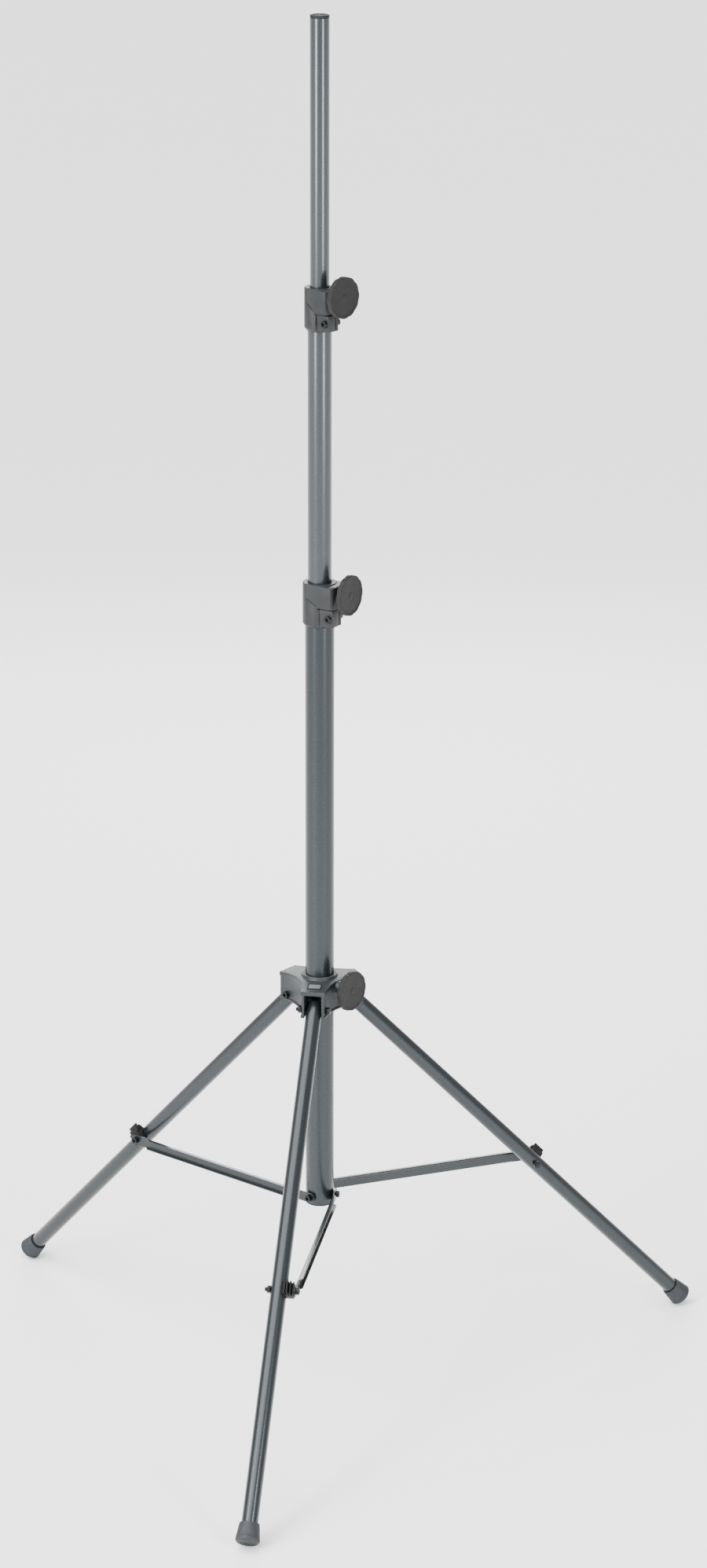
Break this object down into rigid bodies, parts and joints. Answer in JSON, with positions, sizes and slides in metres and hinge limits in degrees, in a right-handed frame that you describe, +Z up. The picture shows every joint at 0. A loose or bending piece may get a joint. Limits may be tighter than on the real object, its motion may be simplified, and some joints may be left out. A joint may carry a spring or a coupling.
{
  "type": "loudspeaker tripod stand",
  "caption": "Tall telescoping pole with clamp knobs on a sliding star-shaped hub with folding, braced tripod legs and rubber feet.",
  "frame": {"origin": "on the floor, at the centre of the footprint's bounding box; the column stands 0.191 m towards +Y of it", "axes": "+Z up along the column; -Y towards the front leg; +X to the right as seen from the front"},
  "size_m": [1.3722, 1.1944, 2.6052],
  "materials": {
    "powder_coat": "dark blue-grey satin powder coat on steel tube",
    "cast_paint": "grey-blue paint on a cast star",
    "clamp_plastic": "dark grey moulded clamp",
    "knob_plastic": "near-black moulded plastic",
    "foot_rubber": "black rubber",
    "black_steel": "blackened steel fasteners",
    "glide_plastic": "pale low-friction plastic"
  },
  "bodies": {
    "lower_column": {"lower_tube": "powder_coat", "lower_tube_plug": "knob_plastic", "front_brace_screw": "black_steel", "right_brace_screw": "black_steel", "left_brace_screw": "black_steel", "front_brace_washer": "black_steel", "right_brace_washer": "black_steel", "left_brace_washer": "black_steel", "lower_clamp": "clamp_plastic", "lower_pinch_bolt": "black_steel", "lower_pinch_nut": "black_steel"},
    "middle_column": {"middle_tube": "powder_coat", "middle_glide": "glide_plastic", "upper_clamp": "clamp_plastic", "upper_pinch_bolt": "black_steel", "upper_pinch_nut": "black_steel"},
    "top_column": {"top_tube": "powder_coat", "pole_cap": "knob_plastic", "top_glide": "glide_plastic"},
    "leg_base": {"leg_base_casting": "cast_paint", "leg_base_liner": "glide_plastic", "front_pivot_bolt": "black_steel", "right_pivot_bolt": "black_steel", "left_pivot_bolt": "black_steel", "front_pivot_nut": "black_steel", "right_pivot_nut": "black_steel", "left_pivot_nut": "black_steel"},
    "front_leg": {"front_leg_tube": "powder_coat", "front_foot": "foot_rubber", "front_spacer": "knob_plastic", "front_joint_bolt": "black_steel", "front_joint_nut": "black_steel"},
    "front_brace": {"front_brace": "powder_coat", "front_joint_bolt_head": "black_steel"},
    "right_leg": {"right_leg_tube": "powder_coat", "right_foot": "foot_rubber", "right_spacer": "knob_plastic", "right_joint_bolt": "black_steel", "right_joint_nut": "black_steel"},
    "right_brace": {"right_brace": "powder_coat", "right_joint_bolt_head": "black_steel"},
    "left_leg": {"left_leg_tube": "powder_coat", "left_foot": "foot_rubber", "left_spacer": "knob_plastic", "left_joint_bolt": "black_steel", "left_joint_nut": "black_steel"},
    "left_brace": {"left_brace": "powder_coat", "left_joint_bolt_head": "black_steel"},
    "upper_pad": {"upper_pressure_pad": "glide_plastic"},
    "upper_knob": {"upper_knob": "knob_plastic", "upper_stud": "black_steel"},
    "lower_pad": {"lower_pressure_pad": "glide_plastic"},
    "lower_knob": {"lower_knob": "knob_plastic", "lower_stud": "black_steel"},
    "leg_base_pad": {"leg_base_pressure_pad": "glide_plastic"},
    "leg_base_knob": {"leg_base_knob": "knob_plastic", "leg_base_stud": "black_steel"}
  },
  "joints": [
    {"name": "middle_slide", "type": "slide", "parent": "lower_column", "child": "middle_column", "axis": [0, 0, 1], "range_m": [-0.44, 0.2]},
    {"name": "top_slide", "type": "slide", "parent": "middle_column", "child": "top_column", "axis": [0, 0, 1], "range_m": [-0.46, 0.2]},
    {"name": "leg_base_slide", "type": "slide", "parent": "lower_column", "child": "leg_base", "axis": [0, 0, 1], "range_m": [0, 0.595]},
    {"name": "front_leg_hinge", "type": "hinge", "parent": "leg_base", "child": "front_leg", "pos_m": [0, 0.12895, 0.75589], "axis": [1, 0, 0], "range_deg": [0, 43.8]},
    {"name": "front_brace_hinge", "type": "hinge", "parent": "lower_column", "child": "front_brace", "pos_m": [0, 0.19095, 0.35618], "axis": [-1, 0, 0], "range_deg": [0, 82]},
    {"name": "right_leg_hinge", "type": "hinge", "parent": "leg_base", "child": "right_leg", "pos_m": [0.05369, 0.22195, 0.75589], "axis": [-0.5, 0.866, 0], "range_deg": [0, 43.8]},
    {"name": "right_brace_hinge", "type": "hinge", "parent": "lower_column", "child": "right_brace", "pos_m": [0, 0.19095, 0.35618], "axis": [0.5, -0.866, 0], "range_deg": [0, 82]},
    {"name": "left_leg_hinge", "type": "hinge", "parent": "leg_base", "child": "left_leg", "pos_m": [-0.05369, 0.22195, 0.75589], "axis": [-0.5, -0.866, 0], "range_deg": [0, 43.8]},
    {"name": "left_brace_hinge", "type": "hinge", "parent": "lower_column", "child": "left_brace", "pos_m": [0, 0.19095, 0.35618], "axis": [0.5, 0.866, 0], "range_deg": [0, 82]},
    {"name": "upper_pad_slide", "type": "slide", "parent": "middle_column", "child": "upper_pad", "axis": [0.829, -0.5592, 0], "range_m": [0, 0.0023]},
    {"name": "upper_knob_turn", "type": "hinge", "parent": "upper_pad", "child": "upper_knob", "pos_m": [0, 0.19095, 2.10858], "axis": [0.829, -0.5592, 0], "range_deg": [0, 540]},
    {"name": "lower_pad_slide", "type": "slide", "parent": "lower_column", "child": "lower_pad", "axis": [0.9135, -0.4067, 0], "range_m": [0, 0.0023]},
    {"name": "lower_knob_turn", "type": "hinge", "parent": "lower_pad", "child": "lower_knob", "pos_m": [0, 0.19095, 1.55666], "axis": [0.9135, -0.4067, 0], "range_deg": [0, 540]},
    {"name": "leg_base_pad_slide", "type": "slide", "parent": "leg_base", "child": "leg_base_pad", "axis": [0.866, -0.5, 0], "range_m": [0, 0.0023]},
    {"name": "leg_base_knob_turn", "type": "hinge", "parent": "leg_base_pad", "child": "leg_base_knob", "pos_m": [0, 0.19095, 0.78989], "axis": [0.866, -0.5, 0], "range_deg": [0, 540]}
  ],
  "couplings": [
    {"joint": "front_leg_hinge", "follows": "leg_base_slide", "rad_per_m": 1.2847},
    {"joint": "front_brace_hinge", "follows": "leg_base_slide", "rad_per_m": 2.405},
    {"joint": "right_leg_hinge", "follows": "leg_base_slide", "rad_per_m": 1.2847},
    {"joint": "right_brace_hinge", "follows": "leg_base_slide", "rad_per_m": 2.405},
    {"joint": "left_leg_hinge", "follows": "leg_base_slide", "rad_per_m": 1.2847},
    {"joint": "left_brace_hinge", "follows": "leg_base_slide", "rad_per_m": 2.405},
    {"joint": "upper_pad_slide", "follows": "upper_knob_turn", "m_per_rad": 0.00023873},
    {"joint": "lower_pad_slide", "follows": "lower_knob_turn", "m_per_rad": 0.00023873},
    {"joint": "leg_base_pad_slide", "follows": "leg_base_knob_turn", "m_per_rad": 0.00023873}
  ]
}
